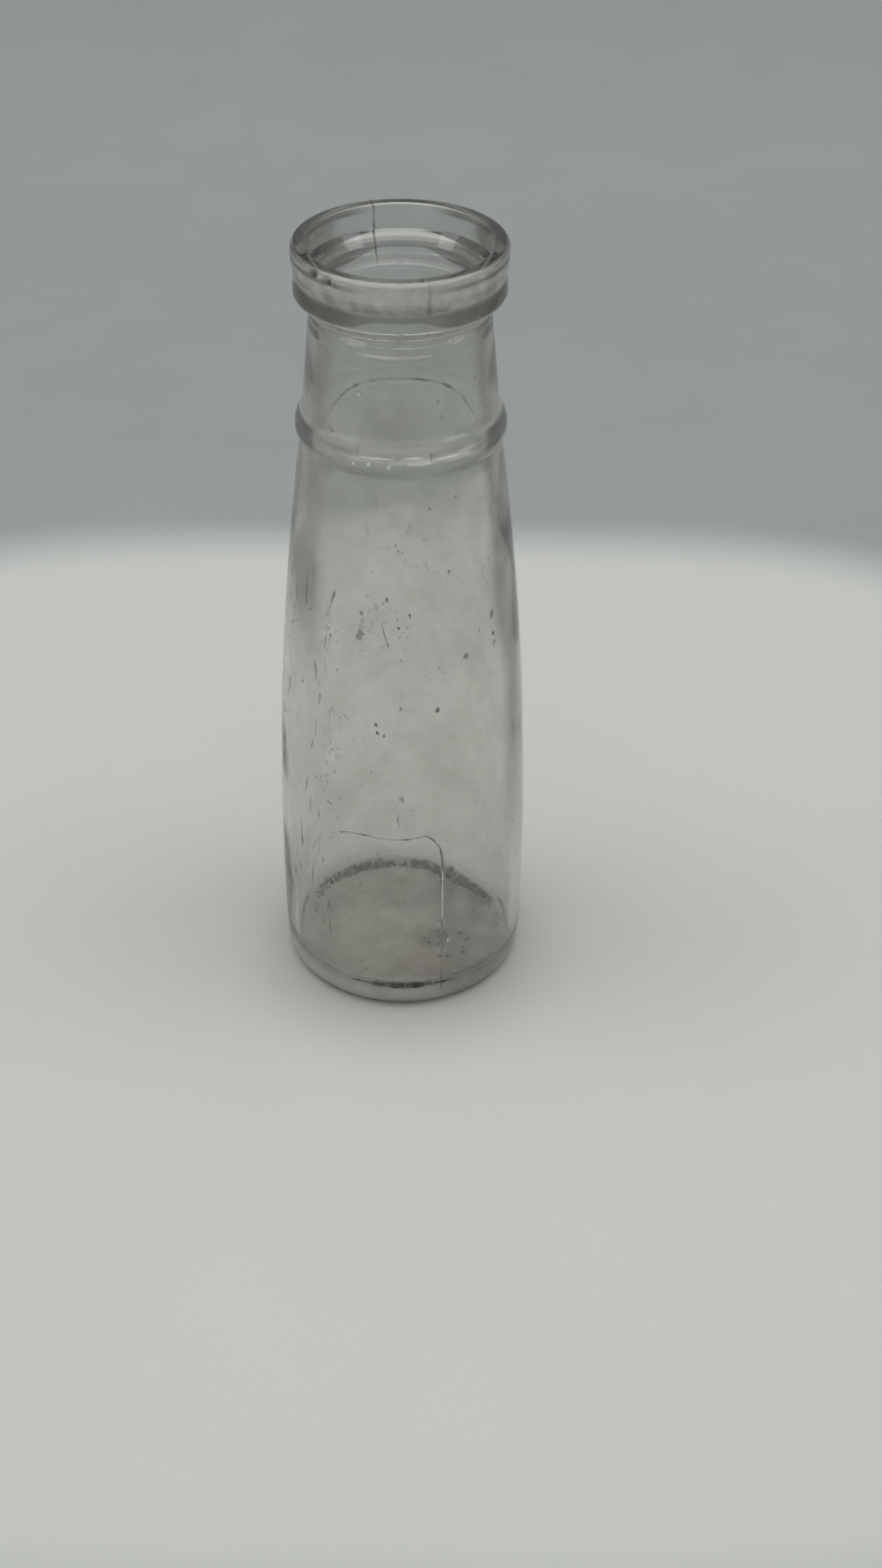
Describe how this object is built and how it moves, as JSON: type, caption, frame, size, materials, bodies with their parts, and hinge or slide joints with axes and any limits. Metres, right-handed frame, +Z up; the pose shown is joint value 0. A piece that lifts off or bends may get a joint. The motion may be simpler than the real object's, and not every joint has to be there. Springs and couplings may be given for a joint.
{
  "type": "milk bottle",
  "caption": "Open wide-mouth milk bottle in clear moulded glass: tapered body, ringed neck, collared lip with an inner ledge for a closing disc.",
  "frame": {"origin": "centre of the bearing ring, on the surface that the bottle stands on", "axes": "+Z up along the bottle's axis of revolution, -Y towards the camera of the picture, +X to its right"},
  "size_m": [0.072, 0.072, 0.228],
  "materials": {
    "clear_glass": "clear soda-lime glass with a faint grey-green tint, scuffed and hazy from use, dry milk film on the floor"
  },
  "bodies": {
    "root": {"base": "clear_glass", "heel": "clear_glass", "body": "clear_glass", "neck_ring": "clear_glass", "neck": "clear_glass", "collar": "clear_glass", "lip": "clear_glass"}
  },
  "joints": []
}
